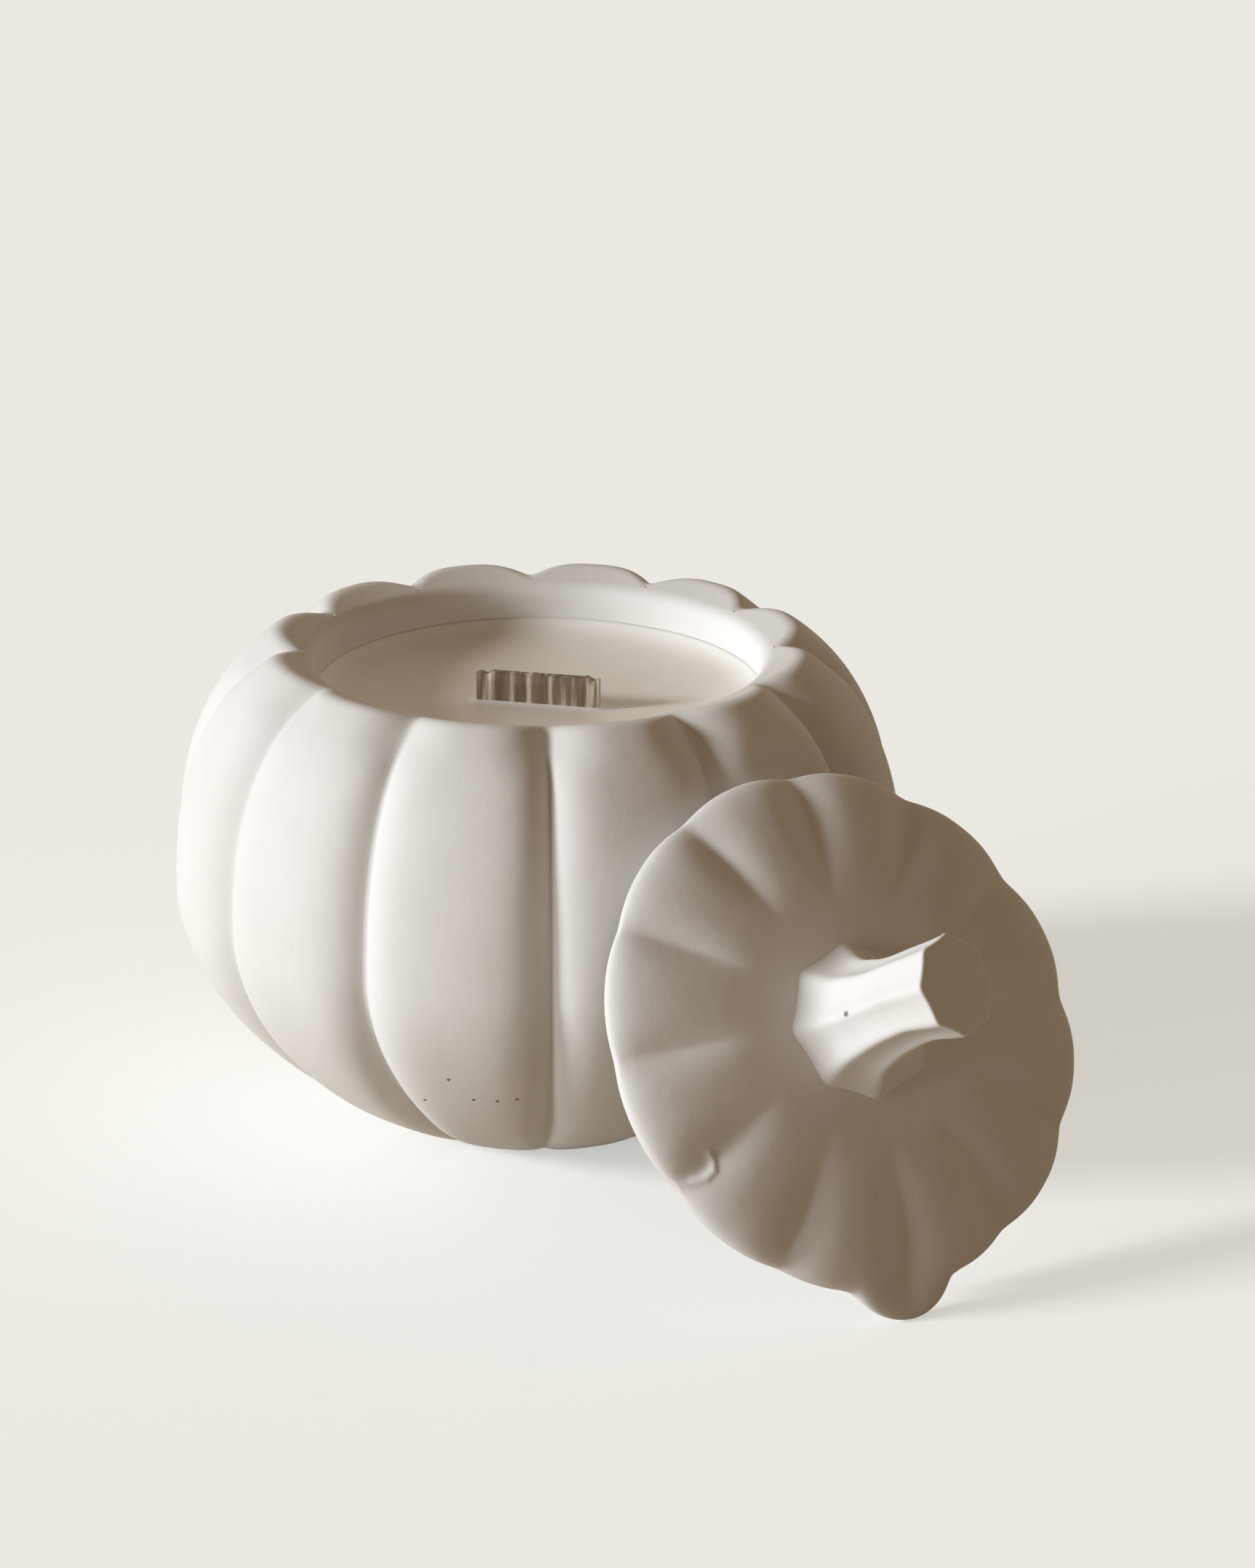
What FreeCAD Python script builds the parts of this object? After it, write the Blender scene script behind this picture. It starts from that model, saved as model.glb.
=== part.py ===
"""Ceramic pumpkin candle pot, with its ribbed lid off and leaning against it.

Millimetres, +Z up, origin at the centre of the pot's foot, +X towards the leaning lid.
The lid and stem are modelled flat, about the lid's own axis with its widest outline in the
plane z = 0, and are then placed in the leaning pose that the sizes give.
"""
import FreeCAD, Part
import math
import os

import Sketcher

Vector = FreeCAD.Vector
Rotation = FreeCAD.Rotation
Placement = FreeCAD.Placement
UP = Vector(0, 0, 1)

doc = FreeCAD.newDocument("pumpkin_candle_pot")

# Driving dimensions: alias, value (mm, degrees or a plain number) and what it sets.
SIZES = (
    ("belly_radius", 65.4, "pot, rib crests at the widest level"),
    ("belly_level", 44.0, "height of the pot's widest level"),
    ("base_drop", 6.0, "how far the base curve's pole lies under the foot"),
    ("base_power", 1.76, "superellipse power of the pot below its belly"),
    ("crown_radius", 30.0, "radius at which the crown curve turns level"),
    ("crown_level", 91.5, "height at which the crown curve turns level"),
    ("crown_power", 2.3, "superellipse power of the pot above its belly"),
    ("crown_trim", 1.5, "how far under crown_level the ribbed outside stops"),
    ("rib_count", 12, "ribs round the pot, and lobes round the lid"),
    ("rib_depth", 3.4, "depth of the valleys between the pot's ribs"),
    ("rib_power", 4.5, "how flat a rib's crest is"),
    ("rib_turn", 25.6, "azimuth of one valley, degrees"),
    ("foot_fade", 16.0, "height over which the valleys deepen from the foot"),
    ("foot_groove", 0.15, "share of the valley depth left at the foot"),
    ("mouth_radius", 39.5, "straight wall inside the rim"),
    ("seat_drop", 7.0, "lower edge of the lid's seat, below crown_level"),
    ("seat_slope", 21.0, "rise of the conical seat, degrees"),
    ("neck_depth", 11.0, "straight wall of the mouth, down from the seat"),
    ("shoulder_depth", 8.0, "where the cavity widens out, down from the neck"),
    ("pot_wall", 5.0, "thickness of the pot's wall at a valley"),
    ("floor_thickness", 6.0, "thickness of the pot's floor"),
    ("wax_drop", 7.6, "edge of the wax, below the lower edge of the seat"),
    ("wax_dish", 2.0, "middle of the wax, below its edge"),
    ("wick_width", 22.4, "width of the wooden wick"),
    ("wick_thickness", 1.2, "thickness of the wooden wick"),
    ("wick_stand", 6.0, "wick above the wax"),
    ("wick_turn", 41.3, "azimuth of the wick's width, degrees"),
    ("clip_length", 26.0, "length of the wick clip's base"),
    ("clip_width", 13.0, "width of the wick clip's base"),
    ("clip_sheet", 0.6, "sheet thickness of the wick clip"),
    ("clip_jaw_height", 7.0, "height of the jaws that hold the wick"),
    ("clip_jaw_length", 20.0, "length of those jaws"),
    ("sticker_radius", 9.0, "adhesive disc under the clip"),
    ("sticker_thickness", 0.8, "thickness of that disc"),
    ("lid_overhang", 4.65, "lid's widest outline, out from the mouth's wall"),
    ("lid_edge", 2.4, "lid's underside, below its widest outline"),
    ("lid_edge_round", 2.8, "how far the edge draws in below that outline"),
    ("lid_rise", 6.6, "crown of the lid's dome above the outline"),
    ("dome_power", 2.6, "fullness of the dome's plan"),
    ("lobe_depth", 1.7, "notches in the lid's rim, on its dome side"),
    ("edge_notch", 0.3, "what is left of them at the lid's underside"),
    ("notch_rise", 2.0, "height over the outline at which they are full"),
    ("lobe_groove", 2.9, "deepest grooves in the lid's dome"),
    ("lobe_power", 2.6, "how flat a lobe's crest is"),
    ("lobe_softness", 0.3, "how round the grooves between lobes are"),
    ("groove_end", 19.0, "radius at which the lid's grooves have died out"),
    ("dish_depth", 1.6, "dip of the dome round the stem"),
    ("dish_share", 0.6, "width of that dip as a share of the lid"),
    ("ring_clearance", 1.6, "gap all round between locating ring and mouth"),
    ("ring_width", 4.0, "thickness of the locating ring"),
    ("ring_depth", 3.0, "locating ring below the lid's underside"),
    ("lid_hollow", 3.4, "rise of the hollow inside the ring"),
    ("lip_radius", 10.0, "round finger lip on the lid's edge"),
    ("lip_reach", 5.2, "finger lip beyond the lid's widest outline"),
    ("lip_height", 4.4, "thickness of the finger lip"),
    ("lip_drop", 1.6, "finger lip's underside, below the outline"),
    ("lip_turn", -90.0, "finger lip's place round the lid, degrees"),
    ("stem_base", 13.7, "stem's ridges where it meets the lid"),
    ("stem_foot", 10.9, "stem's ridges a little above that"),
    ("stem_neck", 9.0, "stem's ridges over the flare"),
    ("stem_waist", 8.1, "stem's narrowest ridges"),
    ("stem_tip", 8.75, "stem's ridges at the end face"),
    ("stem_length", 31.2, "stem along its axis"),
    ("foot_level", 2.6, "height of stem_foot above the lid"),
    ("neck_level", 8.0, "height of stem_neck above the lid"),
    ("waist_level", 18.5, "height of stem_waist above the lid"),
    ("flute_hollow", 0.6, "depth of the stem's flutes"),
    ("tip_hollow", 0.3, "depth of the flutes at the end face"),
    ("tip_slant", 14.5, "slant of the stem's end face, degrees"),
    ("tip_slant_turn", -11.4, "way that the end face slants, degrees"),
    ("tip_shift", 0.9, "sideways lean of the stem's end"),
    ("tenon_radius", 5.0, "peg under the stem, glued in the lid"),
    ("tenon_depth", 2.0, "length of that peg"),
    ("crown_margin", 1.0, "flat round the stem's base"),
    ("lean_angle", 57.4, "tilt of the leaning lid from level, degrees"),
    ("lean_turn", -6.5, "azimuth that the leaning lid faces, degrees"),
    ("lid_spin", -4.2, "turn of the lid about its own axis, degrees"),
    ("lean_gap", 0.35, "gap between the leaning lid and the pot"),
)

# Dimensions that follow from those: alias, formula and what it is.
DERIVED = (
    ("seat_level", "crown_level - seat_drop", "lower edge of the lid's seat"),
    ("neck_low", "seat_level - neck_depth", "lower end of the mouth's straight wall"),
    ("shoulder_low", "neck_low - shoulder_depth", "where the cavity has its full width"),
    ("wax_edge", "seat_level - wax_drop", "wax at the mouth's wall"),
    ("wax_level", "wax_edge - wax_dish", "wax at the wick"),
    ("board_foot", "floor_thickness + sticker_thickness + clip_sheet", "lower end of the wick"),
    ("lid_radius", "mouth_radius + lid_overhang", "lid's widest outline"),
    ("lid_underside", "-lid_edge", "lid's underside"),
    ("ring_low", "lid_underside - ring_depth", "lower edge of the locating ring"),
    ("ring_outer", "mouth_radius - ring_clearance", "outside of the locating ring"),
    ("ring_inner", "ring_outer - ring_width", "inside of the locating ring"),
    ("lip_centre", "lid_radius + lip_reach - lip_radius", "finger lip's centre, out from the lid's axis"),
    ("crown_flat", "stem_base + crown_margin", "flat that the stem stands on"),
    ("dish_run", "min(crown_flat / (dish_share * lid_radius), 1)", "that flat as a share of the dip"),
    ("crown_dip", "dish_depth * (1 - dish_run ^ 2 * (3 - 2 * dish_run))", "dip at that flat"),
    ("stem_level", "lid_rise * sqrt(1 - (crown_flat / lid_radius) ^ dome_power) - crown_dip", "its height"),
)

STEM_SIDES = 8
SHEET = "sizes"

# Points that the curved surfaces are drawn through.
SIDE_STEPS = 11
RIB_POINTS = 13
EDGE_STEPS = 4
DOME_STEPS = 12
WALL_STEPS = 8
BACK_POINTS = 180

# Middle point of the two shallow vaults: how far out and how far up, as shares of the whole.
WAX_HAUNCH = (0.62, 0.15)
LID_HAUNCH = (0.7, 0.75)

LIP_ROUND_SHARE = 0.45
SEARCH_STEPS = 40

sheet = doc.addObject("Spreadsheet::Sheet", SHEET)
typed = [(alias, str(value), note) for alias, value, note in SIZES]
derived = [(alias, "=" + formula, note) for alias, formula, note in DERIVED]
for row, (alias, content, note) in enumerate(typed + derived, start=1):
    sheet.set("A%d" % row, note)
    sheet.set("B%d" % row, content)
    sheet.setAlias("B%d" % row, alias)
doc.recompute()


def size(alias):
    """Value of one cell of the sheet, as a plain number."""
    return float(getattr(sheet, alias))


def cell(alias):
    """Name of one cell, for an expression."""
    return "%s.%s" % (SHEET, alias)


rib_count = int(round(size("rib_count")))
rib_pitch = 360.0 / rib_count


# ---------------------------------------------------------------- ribbed surfaces

def crest_radius(level):
    """Radius of the pot's rib crests at a height: two superellipses that meet at the belly."""
    belly = size("belly_radius")
    if level < size("belly_level"):
        share = (size("belly_level") - level) / (size("belly_level") + size("base_drop"))
        power = size("base_power")
        pole = 0.0
    else:
        share = (level - size("belly_level")) / (size("crown_level") - size("belly_level"))
        power = size("crown_power")
        pole = size("crown_radius")
    share = min(max(share, 0.0), 1.0)
    return pole + (belly - pole) * (1.0 - share ** power) ** (1.0 / power)


SLOPE_STEP = 0.05
SLOPE_LIMIT = 2.4


def slope_factor(level):
    """Horizontal width of one millimetre measured square to the pot's profile."""
    run = crest_radius(level + SLOPE_STEP) - crest_radius(level - SLOPE_STEP)
    return min(math.hypot(1.0, run / (2.0 * SLOPE_STEP)), SLOPE_LIMIT)


def smooth(share):
    """Smooth rise from 0 to 1."""
    share = min(max(share, 0.0), 1.0)
    return share * share * (3.0 - 2.0 * share)


def valley_depth(level):
    """Depth of the pot's valleys, measured level, at a height."""
    left = size("foot_groove")
    fade = left + (1.0 - left) * smooth(level / size("foot_fade"))
    return size("rib_depth") * slope_factor(level) * fade


def rib_share(azimuth, turn):
    """-1 and 1 in a valley, 0 on the crest between them."""
    return ((azimuth - turn) % rib_pitch) / rib_pitch * 2.0 - 1.0


def pot_bend(share):
    """0 on a rib's crest and 1 in the valleys beside it."""
    return abs(share) ** size("rib_power")


def lobe_bend(share):
    """The same for a lobe of the lid, whose grooves are round at the bottom."""
    soft = size("lobe_softness")
    rise = math.hypot(1.0 - abs(share) ** size("lobe_power"), soft) - soft
    return 1.0 - rise / (math.hypot(1.0, soft) - soft)


def pot_radius(level, azimuth):
    """Radius of the pot's ribbed outside."""
    return crest_radius(level) - valley_depth(level) * pot_bend(rib_share(azimuth, size("rib_turn")))


def all_round(shape):
    """Copies of one rib's face or edge, one for each rib."""
    copies = [shape.copy() for _ in range(rib_count)]
    for index, copy in enumerate(copies):
        copy.rotate(Vector(), UP, index * rib_pitch)
    return copies


def ribbed_solid(stations, bend_at, turn):
    """Solid of equal ribs. A station is (radius, level, inward, down): a point of the crest's
    profile and how far the valley lies inwards and below it. The first and last are level."""
    grid = []
    for radius, level, inward, down in stations:
        line = []
        for step in range(RIB_POINTS):
            share = 2.0 * step / (RIB_POINTS - 1) - 1.0
            angle = math.radians(turn + (share + 1.0) * rib_pitch / 2.0)
            bend = bend_at(share)
            reach = radius - inward * bend
            line.append(Vector(reach * math.cos(angle), reach * math.sin(angle), level - down * bend))
        grid.append(line)
    surface = Part.BSplineSurface()
    surface.interpolate(grid)
    ends = [Part.Face(Part.Wire(all_round(surface.uIso(side).toShape()))) for side in surface.bounds()[:2]]
    shell = Part.makeShell(all_round(surface.toShape()) + ends)
    shell.sewShape()
    solid = Part.makeSolid(shell)
    if solid.Volume < 0:
        solid.reverse()
    return solid


def pot_stations():
    """Crest profile of the pot from its foot to just under the level where the crown turns flat."""
    belly, drop = size("belly_level"), size("base_drop")
    above = size("crown_level") - belly
    foot_angle = math.asin((belly / (belly + drop)) ** (size("base_power") / 2.0))
    top_angle = math.asin((1.0 - size("crown_trim") / above) ** (size("crown_power") / 2.0))
    levels = []
    for step in range(SIDE_STEPS):
        angle = foot_angle * (1.0 - step / SIDE_STEPS)
        levels.append(belly - (belly + drop) * math.sin(angle) ** (2.0 / size("base_power")))
    for step in range(SIDE_STEPS + 1):
        angle = top_angle * step / SIDE_STEPS
        levels.append(belly + above * math.sin(angle) ** (2.0 / size("crown_power")))
    levels[0] = 0.0
    return [(crest_radius(level), level, valley_depth(level), 0.0) for level in levels]


def dome_level(radius):
    """Height of the lid's lobe crests above its widest outline, at a radius."""
    share = min(radius / size("lid_radius"), 1.0)
    dome = size("lid_rise") * math.sqrt(1.0 - share ** size("dome_power"))
    return dome - size("dish_depth") * (1.0 - smooth(share / size("dish_share")))


def notch_depth(level):
    """Depth of the notches in the lid's rim at a height: they grow from its underside upwards."""
    low = size("edge_notch")
    rise = smooth((level - size("lid_underside")) / (size("notch_rise") - size("lid_underside")))
    return low + (size("lobe_depth") - low) * rise


def edge_stations():
    """Crest profile of the lid's rim, from its underside up to its widest outline."""
    stations = []
    for step in range(EDGE_STEPS + 1):
        angle = math.radians(90.0 * (1.0 - step / EDGE_STEPS))
        radius = size("lid_radius") - size("lid_edge_round") * (1.0 - math.cos(angle))
        level = -size("lid_edge") * math.sin(angle)
        stations.append((radius, level, notch_depth(level), 0.0))
    return stations


def dome_stations():
    """Crest profile of the lid's dome, from its widest outline in to the flat for the stem."""
    flat, end, rim = size("crown_flat"), size("groove_end"), size("lid_radius")
    stations = []
    for step in range(1, DOME_STEPS + 1):
        angle = math.radians(90.0 * step / DOME_STEPS)
        radius = flat + (rim - flat) * math.cos(angle)
        level = dome_level(radius)
        groove = size("lobe_groove") * smooth((radius - end) / (rim - end)) * math.sin(angle)
        stations.append((radius, level, notch_depth(level) * math.cos(angle) ** 2, groove))
    return stations


# ---------------------------------------------------------------- sketches and bodies

def new_body(label):
    body = doc.addObject("PartDesign::Body", label)
    body.Label = label
    return body


def new_sketch(body, name, role="XY_Plane"):
    """Sketch on one of the body's own origin planes."""
    plane = [item for item in body.Origin.OriginFeatures if item.Role == role][0]
    sketch = body.newObject("Sketcher::SketchObject", name)
    sketch.AttachmentSupport = [(plane, "")]
    sketch.MapMode = "FlatFace"
    return sketch


def lift(sketch, level, turn="0"):
    """Raises a sketch along its normal and turns it, both by expression."""
    sketch.setExpression("AttachmentOffset.Base.z", level)
    sketch.setExpression("AttachmentOffset.Rotation.Angle", turn)


def add_rectangle(sketch, width, depth):
    """Rectangle centred on the sketch's origin, its two sizes bound to expressions."""
    corners = [Vector(-1, -1, 0), Vector(1, -1, 0), Vector(1, 1, 0), Vector(-1, 1, 0)]
    sides = [sketch.addGeometry(Part.LineSegment(corners[k], corners[(k + 1) % 4])) for k in range(4)]
    for k in range(4):
        sketch.addConstraint(Sketcher.Constraint("Coincident", sides[k], 2, sides[(k + 1) % 4], 1))
    for k in (0, 2):
        sketch.addConstraint(Sketcher.Constraint("Horizontal", sides[k]))
    for k in (1, 3):
        sketch.addConstraint(Sketcher.Constraint("Vertical", sides[k]))
    sketch.addConstraint(Sketcher.Constraint("Symmetric", sides[0], 1, sides[1], 2, -1, 1))
    bind(sketch, Sketcher.Constraint("DistanceX", sides[0], 1, sides[0], 2, 2.0), "width", width)
    bind(sketch, Sketcher.Constraint("DistanceY", sides[1], 1, sides[1], 2, 2.0), "depth", depth)


def add_circle(sketch, name, radius):
    """Circle about the sketch's origin, its radius bound to an expression."""
    circle = sketch.addGeometry(Part.Circle(Vector(), UP, 1.0))
    sketch.addConstraint(Sketcher.Constraint("Coincident", circle, 3, -1, 1))
    bind(sketch, Sketcher.Constraint("Radius", circle, 1.0), name, radius)


def bind(sketch, constraint, name, expression):
    index = sketch.addConstraint(constraint)
    sketch.renameConstraint(index, name)
    sketch.setExpression("Constraints.%s" % name, expression)


def add_pad(body, sketch, name, length, down=False):
    pad = body.newObject("PartDesign::Pad", name)
    pad.Profile = sketch
    pad.Reversed = down
    pad.setExpression("Length", length)
    return pad


def add_pocket(body, sketch, name, length, up=False):
    """Pocket that cuts down from its sketch, or up from it."""
    pocket = body.newObject("PartDesign::Pocket", name)
    pocket.Profile = sketch
    pocket.Reversed = up
    pocket.setExpression("Length", length)
    return pocket


def add_feature(label, shape):
    feature = doc.addObject("Part::Feature", label)
    feature.Label = label
    feature.Shape = shape
    return feature


# ---------------------------------------------------------------- pot, wax and wick

def cavity_wall():
    """Edges of the cavity's wall in the XZ plane, from the floor to the top of the neck."""
    inset = size("rib_depth") + size("pot_wall")
    low = size("floor_thickness")
    points = []
    for step in range(WALL_STEPS + 1):
        level = low + (size("shoulder_low") - low) * smooth(step / WALL_STEPS)
        points.append(Vector(crest_radius(level) - inset * slope_factor(level), 0, level))
    neck = Vector(size("mouth_radius"), 0, size("neck_low"))
    wall = Part.BSplineCurve()
    wall.interpolate(points + [neck])
    return wall.toShape(), points[0], neck


def turned(edges):
    """Solid of revolution of a closed outline in the XZ plane."""
    return Part.Face(Part.Wire(edges)).revolve(Vector(), UP, 360)


def run_of_lines(*points):
    return [Part.makeLine(here, there) for here, there in zip(points, points[1:])]


def vault(edge, middle, haunch):
    """Shallow curve in the XZ plane from an edge in to the axis, level there."""
    reach, rise = haunch
    curve = Part.BSplineCurve()
    curve.interpolate([edge, Vector(reach * edge.x, 0, edge.z + rise * (middle.z - edge.z)), middle])
    return curve.toShape()


def make_pot():
    """Ribbed shell: the wavy rim is where the conical seat meets the ribs' outside."""
    outside = add_feature("pot_outside", ribbed_solid(pot_stations(), pot_bend, size("rib_turn")))
    wall, floor_edge, neck = cavity_wall()
    seat_run = size("belly_radius") - size("mouth_radius")
    seat_low = Vector(size("mouth_radius"), 0, size("seat_level"))
    seat_high = seat_low + Vector(seat_run, 0, seat_run * math.tan(math.radians(size("seat_slope"))))
    above = Vector(0, 0, seat_high.z)
    bottom = Vector(0, 0, size("floor_thickness"))
    hollow = turned(
        run_of_lines(bottom, floor_edge) + [wall] + run_of_lines(neck, seat_low, seat_high, above, bottom)
    )
    inside = add_feature("pot_inside", hollow)
    pot = doc.addObject("Part::Cut", "pot")
    pot.Base = outside
    pot.Tool = inside
    return pot


def make_sticker():
    body = new_body("wick_sticker")
    sketch = new_sketch(body, "sticker_outline")
    lift(sketch, cell("floor_thickness"))
    add_circle(sketch, "disc", cell("sticker_radius"))
    add_pad(body, sketch, "sticker_disc", cell("sticker_thickness"))
    return body


def make_clip():
    """Pressed foot: a base plate and two jaws with the wick between them."""
    body = new_body("wick_clip")
    base_level = "%s + %s" % (cell("floor_thickness"), cell("sticker_thickness"))
    plate = new_sketch(body, "clip_plate")
    lift(plate, base_level, cell("wick_turn"))
    add_rectangle(plate, cell("clip_length"), cell("clip_width"))
    add_pad(body, plate, "clip_base", cell("clip_sheet"))
    jaws = new_sketch(body, "clip_jaws")
    lift(jaws, "%s + %s" % (base_level, cell("clip_sheet")), cell("wick_turn"))
    jaw_width = "%s + 2 * %s" % (cell("wick_thickness"), cell("clip_sheet"))
    add_rectangle(jaws, cell("clip_jaw_length"), jaw_width)
    add_pad(body, jaws, "clip_jaw_block", cell("clip_jaw_height"))
    slot = new_sketch(body, "clip_slot")
    lift(slot, "%s + %s + %s" % (base_level, cell("clip_sheet"), cell("clip_jaw_height")), cell("wick_turn"))
    add_rectangle(slot, "%s + %s" % (cell("clip_jaw_length"), cell("wick_width")), cell("wick_thickness"))
    add_pocket(body, slot, "clip_gap", cell("clip_jaw_height"))
    return body


def make_wick():
    body = new_body("wooden_wick")
    sketch = new_sketch(body, "wick_outline")
    lift(sketch, cell("board_foot"), cell("wick_turn"))
    add_rectangle(sketch, cell("wick_width"), cell("wick_thickness"))
    height = "%s + %s - %s" % (cell("wax_level"), cell("wick_stand"), cell("board_foot"))
    add_pad(body, sketch, "wick_board", height)
    return body


def make_wax(held):
    """Wax poured round the wick, its clip and the sticker, up to the wax level."""
    wall, floor_edge, neck = cavity_wall()
    bottom = Vector(0, 0, size("floor_thickness"))
    edge = Vector(size("mouth_radius"), 0, size("wax_edge"))
    middle = Vector(0, 0, size("wax_level"))
    surface = vault(edge, middle, WAX_HAUNCH)
    poured = turned(
        run_of_lines(bottom, floor_edge)
        + [wall]
        + run_of_lines(neck, edge)
        + [surface]
        + run_of_lines(middle, bottom)
    )
    block = add_feature("wax_block", poured)
    core = doc.addObject("Part::MultiFuse", "wax_core")
    core.Shapes = held
    wax = doc.addObject("Part::Cut", "wax_fill")
    wax.Base = block
    wax.Tool = core
    return wax


# ---------------------------------------------------------------- lid and stem

def add_cylinder(name, radius, height, level):
    """Upright cylinder on the lid's axis, its sizes and its level bound to expressions."""
    cylinder = doc.addObject("Part::Cylinder", name)
    cylinder.setExpression("Radius", radius)
    cylinder.setExpression("Height", height)
    cylinder.setExpression("Placement.Base.z", level)
    return cylinder


def make_lip():
    """Round finger lip with rounded rims, level with the lid's edge."""
    lip = add_cylinder("lid_lip", cell("lip_radius"), cell("lip_height"), "-" + cell("lip_drop"))
    lip.setExpression("Placement.Base.x", "%s * cos(%s * 1 deg)" % (cell("lip_centre"), cell("lip_turn")))
    lip.setExpression("Placement.Base.y", "%s * sin(%s * 1 deg)" % (cell("lip_centre"), cell("lip_turn")))
    doc.recompute()
    rounded = doc.addObject("Part::Fillet", "lid_lip_round")
    rounded.Base = lip
    fillet = LIP_ROUND_SHARE * size("lip_height")
    rims = [n for n, edge in enumerate(lip.Shape.Edges, start=1) if isinstance(edge.Curve, Part.Circle)]
    rounded.Edges = [(n, fillet, fillet) for n in rims]
    return rounded


def lid_hollow():
    """Space inside the locating ring: a straight wall under a shallow vault."""
    low, spring, inner = size("ring_low"), size("lid_underside"), size("ring_inner")
    edge = Vector(inner, 0, spring)
    crown = Vector(0, 0, spring + size("lid_hollow"))
    mouth = run_of_lines(Vector(0, 0, low), Vector(inner, 0, low), edge)
    return turned(mouth + [vault(edge, crown, LID_HAUNCH)] + run_of_lines(crown, Vector(0, 0, low)))


def make_lid():
    """Ribbed dome with a finger lip, a locating ring, a hollow underside and the stem's socket."""
    dome = add_feature("lid_dome", ribbed_solid(edge_stations() + dome_stations(), lobe_bend, 0.0))
    ring_height = "%s + %s" % (cell("ring_depth"), cell("lid_edge"))
    ring = add_cylinder("lid_ring", cell("ring_outer"), ring_height, cell("ring_low"))
    blank = doc.addObject("Part::MultiFuse", "lid_blank")
    blank.Shapes = [dome, make_lip(), ring]
    hollow = add_feature("lid_hollow_form", lid_hollow())
    socket_level = "%s - %s" % (cell("stem_level"), cell("tenon_depth"))
    socket = add_cylinder("lid_socket", cell("tenon_radius"), cell("tenon_depth"), socket_level)
    removed = doc.addObject("Part::MultiFuse", "lid_removed")
    removed.Shapes = [hollow, socket]
    lid = doc.addObject("Part::Cut", "lid")
    lid.Base = blank
    lid.Tool = removed
    return lid


def add_fluted_section(body, name, level, ridge, hollow):
    """Closed ring of hollow arcs between ridges on equal spokes."""
    sketch = new_sketch(body, name)
    lift(sketch, level)
    reach = size(ridge)
    turn = 2.0 * math.pi / STEM_SIDES
    corners = []
    for side in range(STEM_SIDES):
        corners.append(Vector(reach * math.cos(turn * side), reach * math.sin(turn * side), 0))
    spokes = []
    for side, corner in enumerate(corners):
        spoke = sketch.addGeometry(Part.LineSegment(Vector(), corner), True)
        sketch.addConstraint(Sketcher.Constraint("Coincident", spoke, 1, -1, 1))
        if side == 0:
            sketch.addConstraint(Sketcher.Constraint("Horizontal", spoke))
            bind(sketch, Sketcher.Constraint("Distance", spoke, reach), "ridge", cell(ridge))
        else:
            sketch.addConstraint(Sketcher.Constraint("Angle", spokes[-1], 1, spoke, 1, turn))
            sketch.addConstraint(Sketcher.Constraint("Equal", spokes[0], spoke))
        spokes.append(spoke)
    arcs = []
    for side in range(STEM_SIDES):
        after = (side + 1) % STEM_SIDES
        here, there = corners[side], corners[after]
        middle = (here + there) / 2.0
        middle = middle * (1.0 - size(hollow) / middle.Length)
        arc = sketch.addGeometry(Part.Arc(here, middle, there))
        first_is_here = sketch.getPoint(arc, 1).distanceToPoint(here) < 0.001
        ends = (1, 2) if first_is_here else (2, 1)
        sketch.addConstraint(Sketcher.Constraint("Coincident", arc, ends[0], spokes[side], 2))
        sketch.addConstraint(Sketcher.Constraint("Coincident", arc, ends[1], spokes[after], 2))
        if arcs:
            sketch.addConstraint(Sketcher.Constraint("Equal", arcs[0], arc))
        arcs.append(arc)
    half_chord = "%s * sin(180 deg / %d)" % (cell(ridge), STEM_SIDES)
    arc_radius = "((%s)^2 + %s^2) / (2 * %s)" % (half_chord, cell(hollow), cell(hollow))
    radius_now = sketch.Geometry[arcs[0]].Radius
    bind(sketch, Sketcher.Constraint("Radius", arcs[0], radius_now), "flute", arc_radius)
    return sketch


def make_stem():
    """Fluted stem: a loft through five rings of flutes, with a peg under its base."""
    body = new_body("stem")
    base = cell("stem_level")
    rings = (
        ("stem_ring_base", base, "stem_base", "flute_hollow"),
        ("stem_ring_foot", "%s + %s" % (base, cell("foot_level")), "stem_foot", "flute_hollow"),
        ("stem_ring_neck", "%s + %s" % (base, cell("neck_level")), "stem_neck", "flute_hollow"),
        ("stem_ring_waist", "%s + %s" % (base, cell("waist_level")), "stem_waist", "flute_hollow"),
        ("stem_ring_tip", "%s + %s" % (base, cell("stem_length")), "stem_tip", "tip_hollow"),
    )
    sections = [add_fluted_section(body, *ring) for ring in rings]
    tip = sections[-1]
    slant = math.radians(size("tip_slant_turn"))
    tip.AttachmentOffset = Placement(Vector(), Rotation(Vector(-math.sin(slant), math.cos(slant), 0.0), 1.0))
    tip.setExpression("AttachmentOffset.Base.y", "-%s" % cell("tip_shift"))
    tip.setExpression("AttachmentOffset.Rotation.Angle", cell("tip_slant"))
    loft = body.newObject("PartDesign::AdditiveLoft", "stem_loft")
    loft.Profile = sections[0]
    loft.Sections = sections[1:]
    peg = new_sketch(body, "stem_peg_outline")
    lift(peg, base)
    add_circle(peg, "peg", cell("tenon_radius"))
    add_pad(body, peg, "stem_peg", cell("tenon_depth"), down=True)
    return body


# ---------------------------------------------------------------- leaning pose

def lean_rotation():
    """Turns the flat lid so that it faces lean_turn, tilted by lean_angle."""
    face = Rotation(UP, size("lean_turn") + 90.0)
    tilt = Rotation(Vector(1, 0, 0), size("lean_angle"))
    spin = Rotation(UP, size("lid_spin"))
    return face.multiply(tilt).multiply(spin)


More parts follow.
